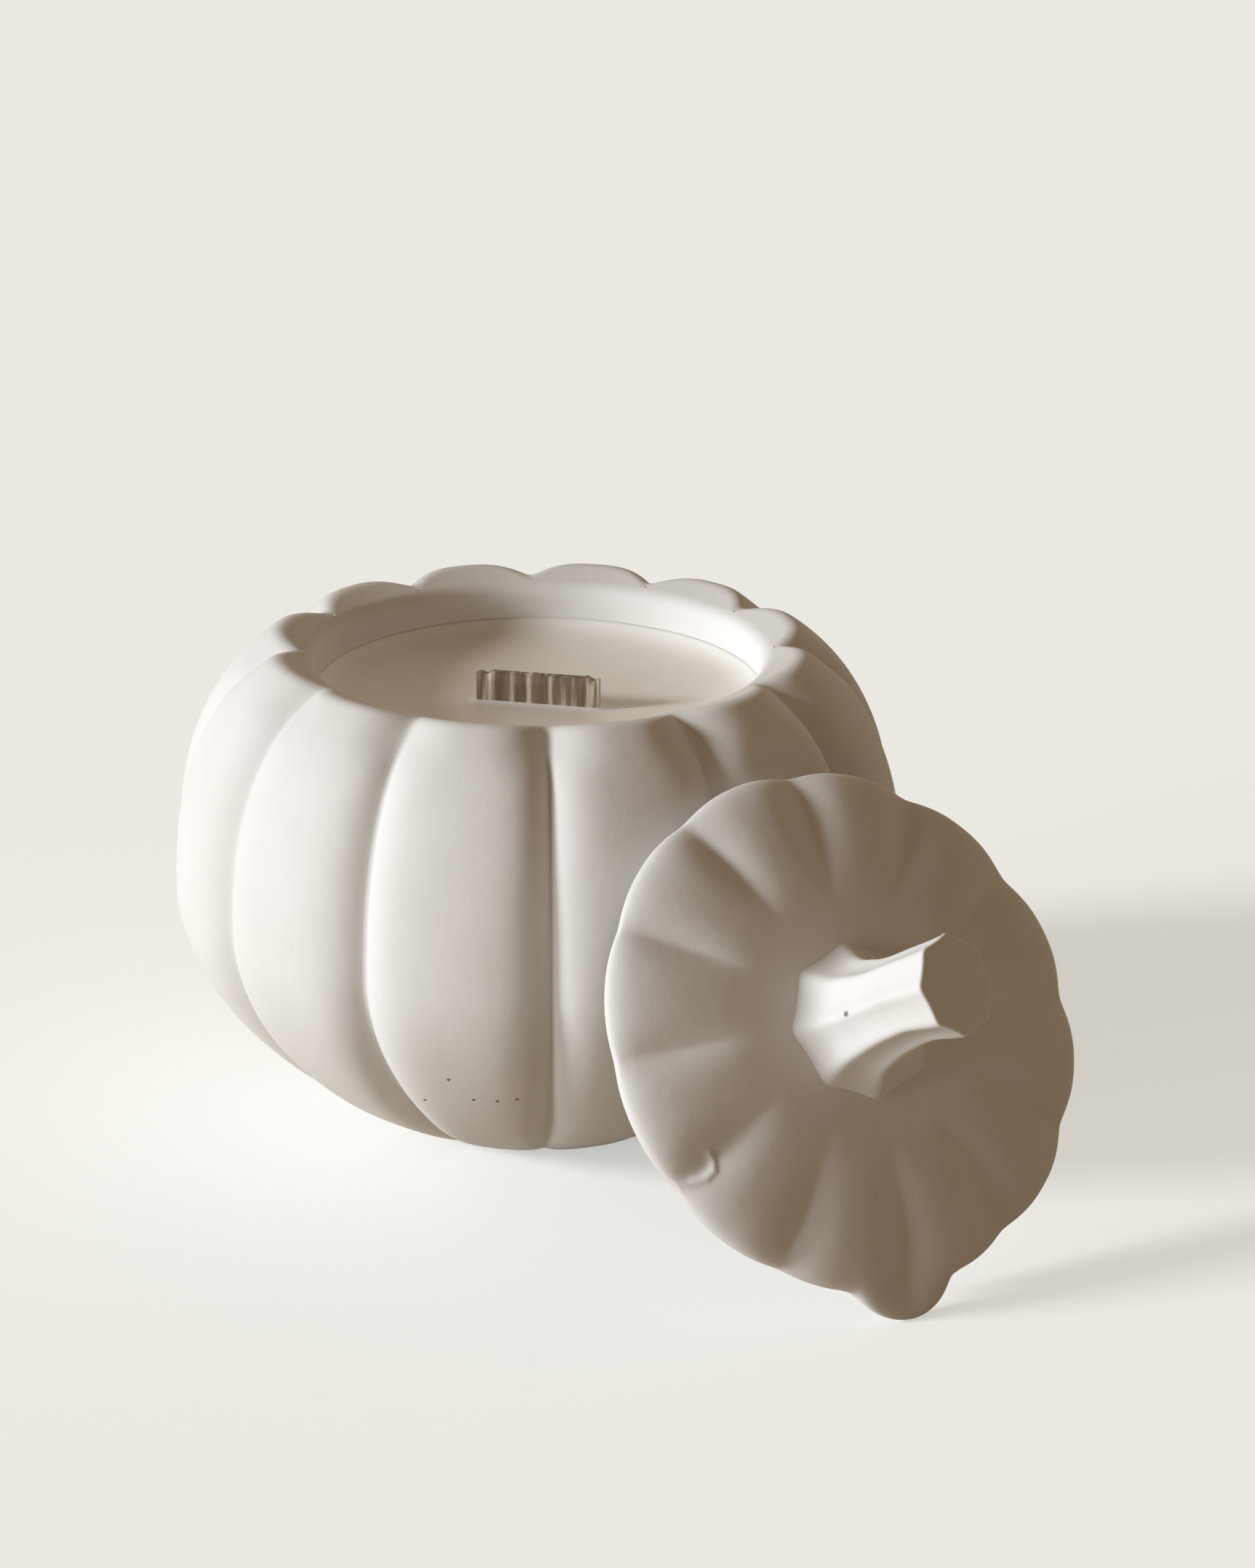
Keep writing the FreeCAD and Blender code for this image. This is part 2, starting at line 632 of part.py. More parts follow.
def lid_back_points():
    """Points on the lid's rim and on the lower edge of its locating ring."""
    points = []
    for step in range(BACK_POINTS):
        turn = 360.0 * step / BACK_POINTS
        way = Vector(math.cos(math.radians(turn)), math.sin(math.radians(turn)), 0)
        bend = lobe_bend(rib_share(turn, 0.0))
        points.append(way * size("ring_outer") + UP * size("ring_low"))
        for radius, level, inward, down in edge_stations():
            points.append(way * (radius - inward * bend) + UP * (level - down * bend))
    return points


def lean_placement(lid_shape):
    """Stands the lid's lowest point on the floor and brings its back to lean_gap from the pot."""
    rotation = lean_rotation()
    turned_lid = lid_shape.copy()
    turned_lid.Placement = Placement(Vector(), rotation)
    height = -turned_lid.optimalBoundingBox(False).ZMin
    points = [rotation.multVec(point) + Vector(0, 0, height) for point in lid_back_points()]
    points = [point for point in points if 0.0 < point.z < size("seat_level")]
    near, far = 0.0, 4.0 * size("belly_radius")
    for _ in range(SEARCH_STEPS):
        middle = (near + far) / 2.0
        gap = min(
            math.hypot(point.x + middle, point.y)
            - pot_radius(point.z, math.degrees(math.atan2(point.y, point.x + middle)))
            for point in points
        )
        if gap > size("lean_gap"):
            far = middle
        else:
            near = middle
    return Placement(Vector(far, 0, height), rotation)


# ---------------------------------------------------------------- the assembly

pot_piece = make_pot()
sticker_piece = make_sticker()
clip_piece = make_clip()
wick_piece = make_wick()
wax_piece = make_wax([sticker_piece, clip_piece, wick_piece])
lid_piece = make_lid()
stem_piece = make_stem()
doc.recompute()

lean = lean_placement(lid_piece.Shape)
for piece in (lid_piece, stem_piece):
    piece.Placement = lean
doc.recompute()

PIECES = (pot_piece, wax_piece, wick_piece, clip_piece, sticker_piece, lid_piece, stem_piece)

for item in doc.Objects:
    faults = [state for state in item.State if state in ("Invalid", "Error")]
    if faults:
        raise RuntimeError("%s is %s" % (item.Name, faults))
for piece in PIECES:
    if piece.Shape.isNull() or not piece.Shape.isValid():
        raise RuntimeError("%s has no valid shape" % piece.Label)

os.makedirs("parts", exist_ok=True)
for piece in PIECES:
    piece.Shape.exportStep("parts/%s.step" % piece.Label)
    box = piece.Shape.BoundBox
    print("%-14s solids %d  volume %.1f mm3  x %.1f..%.1f y %.1f..%.1f z %.1f..%.1f" % (
        piece.Label, len(piece.Shape.Solids), piece.Shape.Volume,
        box.XMin, box.XMax, box.YMin, box.YMax, box.ZMin, box.ZMax))
print("lid stands at", lean.Base)
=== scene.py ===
"""Looks, light and camera for the ceramic pumpkin candle pot whose lid leans against it.

The CAD solids fix every place and size. Pot, wax, wick, lid and stem are each replaced by a finer
mesh of the same form, worked out in millimetres about the piece's own axis. The wick's clip and its
sticker keep their solids and get a material.
"""

import math

import bpy
import numpy as np
from mathutils import Matrix, Vector


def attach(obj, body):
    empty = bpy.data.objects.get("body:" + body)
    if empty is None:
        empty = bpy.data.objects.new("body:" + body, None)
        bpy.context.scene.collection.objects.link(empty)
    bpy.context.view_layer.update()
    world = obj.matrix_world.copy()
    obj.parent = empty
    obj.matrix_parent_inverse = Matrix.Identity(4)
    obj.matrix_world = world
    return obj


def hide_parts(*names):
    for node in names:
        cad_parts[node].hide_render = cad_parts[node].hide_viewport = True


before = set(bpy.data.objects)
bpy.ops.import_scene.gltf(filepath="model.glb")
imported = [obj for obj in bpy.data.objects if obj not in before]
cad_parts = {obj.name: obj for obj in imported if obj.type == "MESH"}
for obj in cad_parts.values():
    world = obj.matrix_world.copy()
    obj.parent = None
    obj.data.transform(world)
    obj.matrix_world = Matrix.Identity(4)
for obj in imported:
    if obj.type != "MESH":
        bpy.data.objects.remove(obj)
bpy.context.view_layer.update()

MM = 0.001

# ---------------------------------------------------------------- sizes, millimetres and degrees

# Pot: rib crests on two superellipses that meet at the belly, valleys that are rounder at the rim.
RIBS = 12
BELLY_RADIUS = 65.4
BELLY_LEVEL = 44.0
BASE_DROP = 6.0
BASE_POWER = 1.76
CROWN_RADIUS = 30.0
CROWN_LEVEL = 91.5
CROWN_POWER = 2.3
RIB_DEPTH = 3.4
RIB_POWER = 4.5
RIB_TURN = 25.6
RIB_SOFTNESS = 0.08
RIM_POWER = 2.9
RIM_SOFTNESS = 0.28
RIM_SOFT_RUN = 6.0
SLOPE_STEP = 0.05
SLOPE_LIMIT = 2.4
FOOT_FADE = 16.0
FOOT_GROOVE = 0.15
FOOT_EDGE = 2.4
MOUTH_RADIUS = 39.5
SEAT_LEVEL = 84.5
SEAT_SLOPE = 21.0
RIM_EDGE = 0.9
MOUTH_EDGE = 2.2
NECK_LOW = 73.5
SHOULDER_LEVEL = 65.5
WALL_INSET = 8.4
FLOOR_LEVEL = 6.0

# Slow unevenness of what was cast and poured.
WAVES = 7
SHORTEST_WAVE = 9.0
LONGEST_WAVE = 34.0
CAST_UNEVENNESS = 0.06
CAST_SEED = 1
WAX_UNEVENNESS = 0.03
WAX_SEED = 5

# Wax: a dished surface, drawn up at the wall and round the wick.
WAX_EDGE = 76.9
WAX_MIDDLE = 74.9
WAX_DISH_POWER = 4
MENISCUS_RISE = 2.0
MENISCUS_REACH = 1.5
CLASP_RISE = 0.45
CLASP_REACH = 0.8
WAX_OVERLAP = 0.15

# Wick: the waves of its burnt top and its grain run along its width, in radians per millimetre.
WEAR_WAVES = ((1.9, 0.6), (0.7, 1.3))
WEAR_POWER = 6
GRAIN_WAVE = 6.1
GRAIN_SWAY = 0.4
GRAIN_DEPTH = 0.10
WICK_CORNER_POWER = 0.12
WICK_WIDTH = 22.4
WICK_THICKNESS = 1.2
WICK_TURN = 41.3
WICK_FOOT = 7.4
WICK_TOP = 80.9
WICK_WEAR = 0.7

# Lid: a dome of lobes, dished round the stem, with notches in its rim and a finger lip.
LID_RADIUS = 44.15
LID_EDGE = 2.4
LID_EDGE_ROUND = 2.8
LID_RISE = 6.6
DOME_POWER = 2.8
LOBE_DEPTH = 1.7
EDGE_NOTCH = 0.3
NOTCH_RISE = 2.0
LOBE_GROOVE = 2.9
LOBE_POWER = 2.6
LOBE_SOFTNESS = 0.30
GROOVE_END = 19.0
DISH_DEPTH = 1.6
DISH_SHARE = 0.6
CROWN_FLAT = 14.7
RING_OUTER = 37.9
RING_INNER = 33.9
RING_DEPTH = 3.0
RING_EDGE = 0.6
HOLLOW_RISE = 3.4
HOLLOW_POWER = 3.9
LIP_RADIUS = 10.0
LIP_CENTRE = 39.2
LIP_TURN = -90.0
LIP_BLEND = 1.2
LIP_TOP = 2.6
LIP_DROP = 1.6

# Fold in the lid's rim: azimuth and distance from the lid's axis of each point of its hooked line.
FOLD_PATH = (
    (-151.0, 43.6), (-148.8, 41.8), (-147.2, 39.4), (-147.4, 37.6), (-149.4, 36.4), (-151.0, 36.2),
)
FOLD_HEIGHT = 0.38
FOLD_WIDTH = 0.62

# Stem: level and ridge radius of each ring, from the flared foot over the waist to the slanted tip.
STEM_SIDES = 8
STEM_LENGTH = 31.2
STEM_WAIST = 18.5
STEM_RIDGES = ((0.0, 13.7), (2.6, 10.9), (8.0, 9.0), (STEM_WAIST, 8.1), (STEM_LENGTH, 8.75))
STEM_SINK = 0.4
FLUTE_HOLLOW = 0.5
RIDGE_ROUNDING = 24
TIP_HOLLOW = 0.3
TIP_SLANT = 14.5
TIP_SLANT_TURN = -11.4
TIP_SHIFT = 0.9
TIP_EDGE = 0.5
TIP_INSET = 2.0

# How the lid leans.
LEAN_ANGLE = 57.4
LEAN_TURN = -6.5
LID_SPIN = -4.2

# Small pits in the pot's foot: azimuth and level of each.
PIT_PLACES = ((-57.0, 20.8), (-51.0, 27.4), (-47.5, 22.6), (-43.4, 22.6), (-40.0, 23.2))
PIT_RADIUS = 0.45

# One more on a ridge of the stem: azimuth in the lid's own frame, and height above the stem's foot.
STEM_PIT = (179.2, 9.5)
STEM_PIT_RADIUS = 0.7

# How fine the meshes are: columns of points round each, and rows along its largest surface.
RIB_COLUMNS = 48
POT_ROWS = 110
DOME_ROWS = 84
WAX_COLUMNS = 360
WAX_ROWS = 90
WICK_COLUMNS = 240
WICK_ROWS = 40
STEM_COLUMNS = STEM_SIDES * 36
STEM_ROWS = 70
CENTRE_RADIUS = 1.0
SURFACE_CENTRE = 0.2

# The camera's place is counted from the pot's own origin.
CAMERA_PLACE = (612.04, -451.35, 333.68)
CAMERA_AZIMUTH = 142.39
CAMERA_PITCH = -19.794
CAMERA_ROLL = 0.399
CAMERA_LENS = 103.52
CAMERA_SENSOR = 36.0

SEAT_RISE = math.tan(math.radians(SEAT_SLOPE))


# ---------------------------------------------------------------- meshes out of rows of points

def smooth(share):
    """Smooth rise from 0 to 1."""
    share = np.clip(share, 0.0, 1.0)
    return share * share * (3.0 - 2.0 * share)


def turns(columns):
    """Azimuths of the columns of a round mesh, in degrees."""
    return np.arange(columns) * 360.0 / columns


def rib_bend(azimuth, turn, power, softness):
    """0 along a rib's crest and 1 in the valley beside it; softness rounds the valley's bottom."""
    pitch = 360.0 / RIBS
    share = np.abs(((azimuth - turn) % pitch) / pitch * 2.0 - 1.0)
    rise = 1.0 - share ** power
    full = np.hypot(1.0, softness) - softness
    return 1.0 - (np.hypot(rise, softness) - softness) / full


def wobble(x, y, z, amount, seed):
    """Slow unevenness: a sum of waves that run in random directions."""
    draw = np.random.default_rng(seed)
    total = np.zeros_like(x)
    for _ in range(WAVES):
        way = draw.normal(size=3)
        way /= np.linalg.norm(way)
        length = draw.uniform(SHORTEST_WAVE, LONGEST_WAVE)
        phase = draw.uniform(0.0, 2.0 * math.pi)
        total += np.sin((x * way[0] + y * way[1] + z * way[2]) * 2.0 * math.pi / length + phase)
    return amount * total / math.sqrt(WAVES)


def ring(radius, level, azimuth, unevenness=0.0):
    """One row of a round mesh: a point for each azimuth."""
    angle = np.radians(azimuth)
    radius = radius + np.zeros_like(angle)
    level = level + np.zeros_like(angle)
    x, y = radius * np.cos(angle), radius * np.sin(angle)
    if unevenness:
        push = wobble(x, y, level, unevenness, CAST_SEED) / np.maximum(radius, CENTRE_RADIUS)
        x, y = x * (1.0 + push), y * (1.0 + push)
    return np.stack([x, y, level], axis=1)


def rounding(start, corner, end, steps):
    """(radius, level) pairs along a curve that leaves start for corner and arrives at end."""
    pairs = []
    for share in np.linspace(0.0, 1.0, steps):
        weights = ((1.0 - share) ** 2, 2.0 * share * (1.0 - share), share ** 2)
        pairs.append(tuple(
            sum(weight * point[axis] for weight, point in zip(weights, (start, corner, end)))
            for axis in range(2)
        ))
    return pairs


def straight(start, end, steps):
    """(radius, level) pairs from start to end, without either."""
    return [
        (start[0] + (end[0] - start[0]) * share, start[1] + (end[1] - start[1]) * share)
        for share in np.linspace(0.0, 1.0, steps + 2)[1:-1]
    ]


def skin(name, rows, place=None):
    """Closed smooth mesh through rows of points, with a face over the first and the last row."""
    rows = np.array(rows, float)
    count, columns = rows.shape[:2]
    points = rows.reshape(-1, 3)
    if place is not None:
        turn = np.array(place.to_3x3(), float)
        points = points @ turn.T + np.array(place.translation, float)
    here = np.arange(columns)
    after = (here + 1) % columns
    faces = []
    for row in range(count - 1):
        low, high = row * columns, (row + 1) * columns
        faces.extend(np.stack([low + here, low + after, high + after, high + here], axis=1).tolist())
    faces.append(here[::-1].tolist())
    faces.append(((count - 1) * columns + here).tolist())
    mesh = bpy.data.meshes.new(name)
    mesh.from_pydata((points * MM).tolist(), [], faces)
    mesh.update()
    mesh.polygons.foreach_set("use_smooth", [True] * (len(faces) - 2) + [False, False])
    piece = bpy.data.objects.new(name, mesh)
    bpy.context.scene.collection.objects.link(piece)
    return piece


# ---------------------------------------------------------------- pot

def crest_radius(level):
    """Radius of the pot's rib crests: two superellipses that meet at the belly."""
    below = np.clip((BELLY_LEVEL - level) / (BELLY_LEVEL + BASE_DROP), 0.0, 1.0)
    above = np.clip((level - BELLY_LEVEL) / (CROWN_LEVEL - BELLY_LEVEL), 0.0, 1.0)
    base = BELLY_RADIUS * (1.0 - below ** BASE_POWER) ** (1.0 / BASE_POWER)
    crown = (BELLY_RADIUS - CROWN_RADIUS) * (1.0 - above ** CROWN_POWER) ** (1.0 / CROWN_POWER)
    return np.where(level < BELLY_LEVEL, base, CROWN_RADIUS + crown)


def slope_factor(level):
    """Horizontal width of one millimetre measured square to the pot's profile."""
    run = (crest_radius(level + SLOPE_STEP) - crest_radius(level - SLOPE_STEP)) / (2.0 * SLOPE_STEP)
    return np.minimum(np.hypot(1.0, run), SLOPE_LIMIT)


def pot_radius(level, azimuth):
    """Radius of the pot's ribbed outside."""
    fade = FOOT_GROOVE + (1.0 - FOOT_GROOVE) * smooth(level / FOOT_FADE)
    near_rim = smooth((level - SEAT_LEVEL + RIM_SOFT_RUN) / RIM_SOFT_RUN)
    softness = RIB_SOFTNESS + (RIM_SOFTNESS - RIB_SOFTNESS) * near_rim
    power = RIB_POWER + (RIM_POWER - RIB_POWER) * near_rim
    bend = rib_bend(azimuth, RIB_TURN, power, softness)
    return crest_radius(level) - RIB_DEPTH * slope_factor(level) * fade * bend


def cavity_radius(level):
    """Radius of the pot's plain inside wall."""
    return crest_radius(level) - WALL_INSET * slope_factor(level)


def rim_levels(azimuth):
    """Level at which the conical seat meets the ribbed outside: the wavy rim, found by halving."""
    low = np.full_like(azimuth, SEAT_LEVEL)
    high = np.full_like(azimuth, CROWN_LEVEL)
    for _ in range(40):
        middle = (low + high) / 2.0
        inside = MOUTH_RADIUS + (middle - SEAT_LEVEL) / SEAT_RISE < pot_radius(middle, azimuth)
        low = np.where(inside, middle, low)
        high = np.where(inside, high, middle)
    return low


def build_pot():
    """Ribbed shell, from the middle of its underside over the wavy rim to the middle of its floor."""
    azimuth = turns(RIBS * RIB_COLUMNS)
    foot = pot_radius(np.zeros_like(azimuth), azimuth)
    flat = foot - FOOT_EDGE
    rim = rim_levels(azimuth)
    rim_radius = pot_radius(rim, azimuth)
    bottom = FOOT_EDGE / 2.0
    top = rim - RIM_EDGE
    seat_start = (rim_radius - 2.0 * RIM_EDGE, rim - 2.0 * RIM_EDGE * SEAT_RISE)
    seat_end = (MOUTH_RADIUS + MOUTH_EDGE, SEAT_LEVEL + MOUTH_EDGE * SEAT_RISE)
    neck_top = (MOUTH_RADIUS, SEAT_LEVEL - MOUTH_EDGE)

    profile = [(share * flat, 0.0) for share in (0.02, 0.5, 0.9)]
    profile += rounding((flat, 0.0), (foot, 0.0), (pot_radius(bottom, azimuth), bottom), steps=6)
    for share in np.linspace(0.0, 1.0, POT_ROWS)[1:-1]:
        # The rows lie closer together towards the foot and the rim.
        eased = (share + 0.5 * (1.0 - math.cos(math.pi * share))) / 2.0
        level = bottom + (top - bottom) * eased
        profile.append((pot_radius(level, azimuth), level))
    profile += rounding((pot_radius(top, azimuth), top), (rim_radius, rim), seat_start, steps=9)
    profile += straight(seat_start, seat_end, steps=6)
    profile += rounding(seat_end, (MOUTH_RADIUS, SEAT_LEVEL), neck_top, steps=12)
    profile += straight(neck_top, (MOUTH_RADIUS, NECK_LOW), steps=6)
    for share in np.linspace(0.0, 1.0, 14):
        level = SHOULDER_LEVEL + (FLOOR_LEVEL - SHOULDER_LEVEL) * smooth(share)
        profile.append((cavity_radius(level), level))
    profile.append((CENTRE_RADIUS, FLOOR_LEVEL))

    rows = []
    for radius, level in profile:
        # The cast is true where it stands and in its straight mouth.
        uneven = np.max(level) > FOOT_EDGE and np.max(radius) > MOUTH_RADIUS
        rows.append(ring(radius, level, azimuth, CAST_UNEVENNESS if uneven else 0.0))
    return skin("pumpkin_pot", rows)


# ---------------------------------------------------------------- wax and wick

def wick_distance(x, y):
    """Distance from the wick's outline, seen from above."""
    angle = math.radians(WICK_TURN)
    along = np.abs(x * math.cos(angle) + y * math.sin(angle)) - WICK_WIDTH / 2.0
    across = np.abs(y * math.cos(angle) - x * math.sin(angle)) - WICK_THICKNESS / 2.0
    return np.hypot(np.maximum(along, 0.0), np.maximum(across, 0.0))


def build_wax():
    """Poured wax: dished, drawn up a little where it meets the pot and the wick."""
    azimuth = turns(WAX_COLUMNS)
    edge = MOUTH_RADIUS + WAX_OVERLAP
    bottom = FLOOR_LEVEL - WAX_OVERLAP
    rows = [ring(CENTRE_RADIUS, bottom, azimuth)]
    for share in np.linspace(0.0, 1.0, 12):
        level = bottom + (SHOULDER_LEVEL - FLOOR_LEVEL) * share
        rows.append(ring(cavity_radius(level) + WAX_OVERLAP, level, azimuth))
    rows.append(ring(edge, NECK_LOW, azimuth))
    for share in np.linspace(0.0, 1.0, WAX_ROWS):
        radius = edge * (1.0 - share) + SURFACE_CENTRE * share
        line = ring(radius, 0.0, azimuth)
        x, y, level = line.T
        dish = (WAX_EDGE - WAX_MIDDLE) * (radius / edge) ** WAX_DISH_POWER
        rise = MENISCUS_RISE * math.exp(-(edge - radius) / MENISCUS_REACH)
        clasp = CLASP_RISE * np.exp(-wick_distance(x, y) / CLASP_REACH)
        ripple = wobble(x, y, level, WAX_UNEVENNESS, WAX_SEED)
        line[:, 2] = WAX_MIDDLE + dish + rise + clasp + ripple
        rows.append(line)
    return skin("poured_wax", rows)


def build_wick():
    """Thin wooden board on edge, its faces grained and its top burnt uneven."""
    angle = np.radians(turns(WICK_COLUMNS))
    along, across = np.cos(angle), np.sin(angle)
    x = np.sign(along) * np.abs(along) ** WICK_CORNER_POWER * WICK_WIDTH / 2.0
    y = np.sign(across) * np.abs(across) ** WICK_CORNER_POWER * WICK_THICKNESS / 2.0
    teeth = 1.0
    for wave, start in WEAR_WAVES:
        teeth = teeth * np.sin(x * wave + start)
    wear = WICK_WEAR * (0.5 + 0.5 * teeth)
    rows = []
    for share in np.linspace(0.0, 1.0, WICK_ROWS):
        level = WICK_FOOT + (WICK_TOP - WICK_FOOT) * share
        grain = 0.5 + 0.5 * np.sin(x * GRAIN_WAVE + GRAIN_SWAY * math.sin(level))
        worn = level - wear * share ** WEAR_POWER
        rows.append(np.stack([x, y * (1.0 - GRAIN_DEPTH * grain), worn], axis=1))
    narrowed = np.array([0.985, 0.6, 1.0])
    rows.append(rows[-1] * narrowed)
    place = Matrix.Rotation(math.radians(WICK_TURN), 4, "Z")
    return skin("wick_board", rows, place)


# ---------------------------------------------------------------- lid and stem

def lid_rotation():
    """Tilt and turn of the leaning lid."""
    face = Matrix.Rotation(math.radians(LEAN_TURN + 90.0), 3, "Z")
    tilt = Matrix.Rotation(math.radians(LEAN_ANGLE), 3, "X")
    spin = Matrix.Rotation(math.radians(LID_SPIN), 3, "Z")
    return face @ tilt @ spin


def lid_place():
    """Where the lid's own frame lies, in millimetres, read from the CAD lid's vertices: its
    outline is as wide both ways apart from the lip, and its locating ring is its lowest part."""
    rotation = lid_rotation()
    points = np.array([vertex.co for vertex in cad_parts["lid"].data.vertices], float) / MM
    local = points @ np.array(rotation, float)
    low, high = local.min(axis=0), local.max(axis=0)
    half = (high[0] - low[0]) / 2.0
    centre = Vector((low[0] + half, high[1] - half, low[2] + LID_EDGE + RING_DEPTH))
    place = rotation.to_4x4()
    place.translation = rotation @ centre
    return place


def dome_level(radius):
    """Height of the lid's lobe crests above its widest outline."""
    share = np.clip(radius / LID_RADIUS, 0.0, 1.0)
    dome = LID_RISE * np.sqrt(1.0 - share ** DOME_POWER)
    return float(dome - DISH_DEPTH * (1.0 - smooth(radius / (DISH_SHARE * LID_RADIUS))))


def lip_reach(azimuth, outline):
    """How far the finger lip stands out from the outline, blended into it."""
    turn = np.radians(azimuth - LIP_TURN)
    inside = LIP_RADIUS ** 2 - (LIP_CENTRE * np.sin(turn)) ** 2
    facing = (inside > 0.0) & (np.cos(turn) > 0.0)
    circle = np.where(facing, LIP_CENTRE * np.cos(turn) + np.sqrt(np.maximum(inside, 0.0)), 0.0)
    return (circle - outline + np.hypot(circle - outline, LIP_BLEND)) / 2.0


def notch_depth(level):
    """Depth of the notches in the lid's rim: they grow from its underside upwards."""
    grown = float(smooth((level + LID_EDGE) / (NOTCH_RISE + LID_EDGE)))
    return EDGE_NOTCH + (LOBE_DEPTH - EDGE_NOTCH) * grown


def fold_lift(radius, azimuth):
    """Height of the small hooked fold pinched up where one groove reaches the rim."""
    angle = np.radians(azimuth)
    here = np.stack([radius * np.cos(angle), radius * np.sin(angle)], axis=1)
    path = [
        np.array((reach * math.cos(math.radians(turn)), reach * math.sin(math.radians(turn))))
        for turn, reach in FOLD_PATH
    ]
    nearest = np.full(len(azimuth), np.inf)
    for start, end in zip(path, path[1:]):
        way = end - start
        share = np.clip((here - start) @ way / (way @ way), 0.0, 1.0)
        away = here - start - share[:, None] * way
        nearest = np.minimum(nearest, np.hypot(away[:, 0], away[:, 1]))
    return FOLD_HEIGHT * np.exp(-(nearest / FOLD_WIDTH) ** 2)


def build_lid(place):
    """Lobed lid, from the middle of its top round its edge to the middle of the vault underneath."""
    azimuth = turns(RIBS * RIB_COLUMNS)
    bend = rib_bend(azimuth, 0.0, LOBE_POWER, LOBE_SOFTNESS)
    lip = lip_reach(azimuth, LID_RADIUS - bend * notch_depth(0.0))
    drop = LID_EDGE + (LIP_DROP - LID_EDGE) * smooth(lip / LIP_TOP)
    crown = dome_level(CROWN_FLAT)
    profile = [(CENTRE_RADIUS, crown), (CROWN_FLAT * 0.6, crown), (CROWN_FLAT * 0.9, crown)]
    for angle in np.radians(np.linspace(90.0, 0.0, DOME_ROWS)):
        crest = CROWN_FLAT + (LID_RADIUS - CROWN_FLAT) * math.cos(angle)
        level = dome_level(crest)
        grown = smooth((crest - GROOVE_END) / (LID_RADIUS - GROOVE_END))
        groove = LOBE_GROOVE * grown * math.sin(angle)
        notch = notch_depth(level)
        stretch = smooth((LIP_TOP - level) / LIP_TOP)
        reach = lip_reach(azimuth, LID_RADIUS - notch * bend) * stretch
        radius = crest - notch * math.cos(angle) ** 2 * bend + reach
        profile.append((radius, level - groove * bend + fold_lift(radius, azimuth)))
    for angle in np.radians(np.linspace(0.0, 90.0, 16)[1:]):
        rim = LID_RADIUS - notch_depth(-LID_EDGE * math.sin(angle)) * bend
        radius = rim + lip_reach(azimuth, rim) - LID_EDGE_ROUND * (1.0 - math.cos(angle))
        profile.append((radius, -drop * math.sin(angle)))
    outer, inner = RING_OUTER, RING_INNER
    flat = -LID_EDGE
    low = flat - RING_DEPTH
    root = (outer + RING_EDGE, flat)
    profile += straight(profile[-1], root, steps=2)
    profile += rounding(root, (outer, flat), (outer, flat - RING_EDGE), steps=4)
    profile += rounding((outer, low + RING_EDGE), (outer, low), (outer - RING_EDGE, low), steps=5)
    profile += rounding((inner + RING_EDGE, low), (inner, low), (inner, low + RING_EDGE), steps=5)
    for share in np.linspace(1.0, 0.03, 16):
        profile.append((inner * share, flat + HOLLOW_RISE * (1.0 - share ** HOLLOW_POWER)))
    rows = [ring(radius, level, azimuth) for radius, level in profile]
    return skin("pumpkin_lid", rows, place)


def flute_radius(ridge, hollow, azimuth):
    """Radius of a ring of hollow arcs between equally spaced ridges."""
    half = math.pi / STEM_SIDES
    turn = np.radians(azimuth) % (2.0 * half) - half
    chord = ridge * math.sin(half)
    arc = (chord ** 2 + hollow ** 2) / (2.0 * hollow)
    middle = ridge * math.cos(half) - hollow + arc
    return middle * np.cos(turn) - np.sqrt(arc ** 2 - (middle * np.sin(turn)) ** 2)


def ridge_radius(level):
    """Radius of the stem's ridges, on a smooth curve through its rings."""
    levels, radii = zip(*STEM_RIDGES)
    slopes = np.gradient(radii, levels)
    index = int(np.clip(np.searchsorted(levels, level) - 1, 0, len(levels) - 2))
    span = levels[index + 1] - levels[index]
    share = (level - levels[index]) / span
    rest = 1.0 - share
    from_low = radii[index] * (1.0 + 2.0 * share) + slopes[index] * span * share
    from_high = radii[index + 1] * (1.0 + 2.0 * rest) - slopes[index + 1] * span * rest
    return from_low * rest ** 2 + from_high * share ** 2


def stem_radius(level, hollow, azimuth):
    """Radius of the fluted stem, its ridges rounded."""
    radius = flute_radius(ridge_radius(level), hollow, azimuth)
    for _ in range(RIDGE_ROUNDING):
        radius = (np.roll(radius, 1) + 2.0 * radius + np.roll(radius, -1)) / 4.0
    return radius


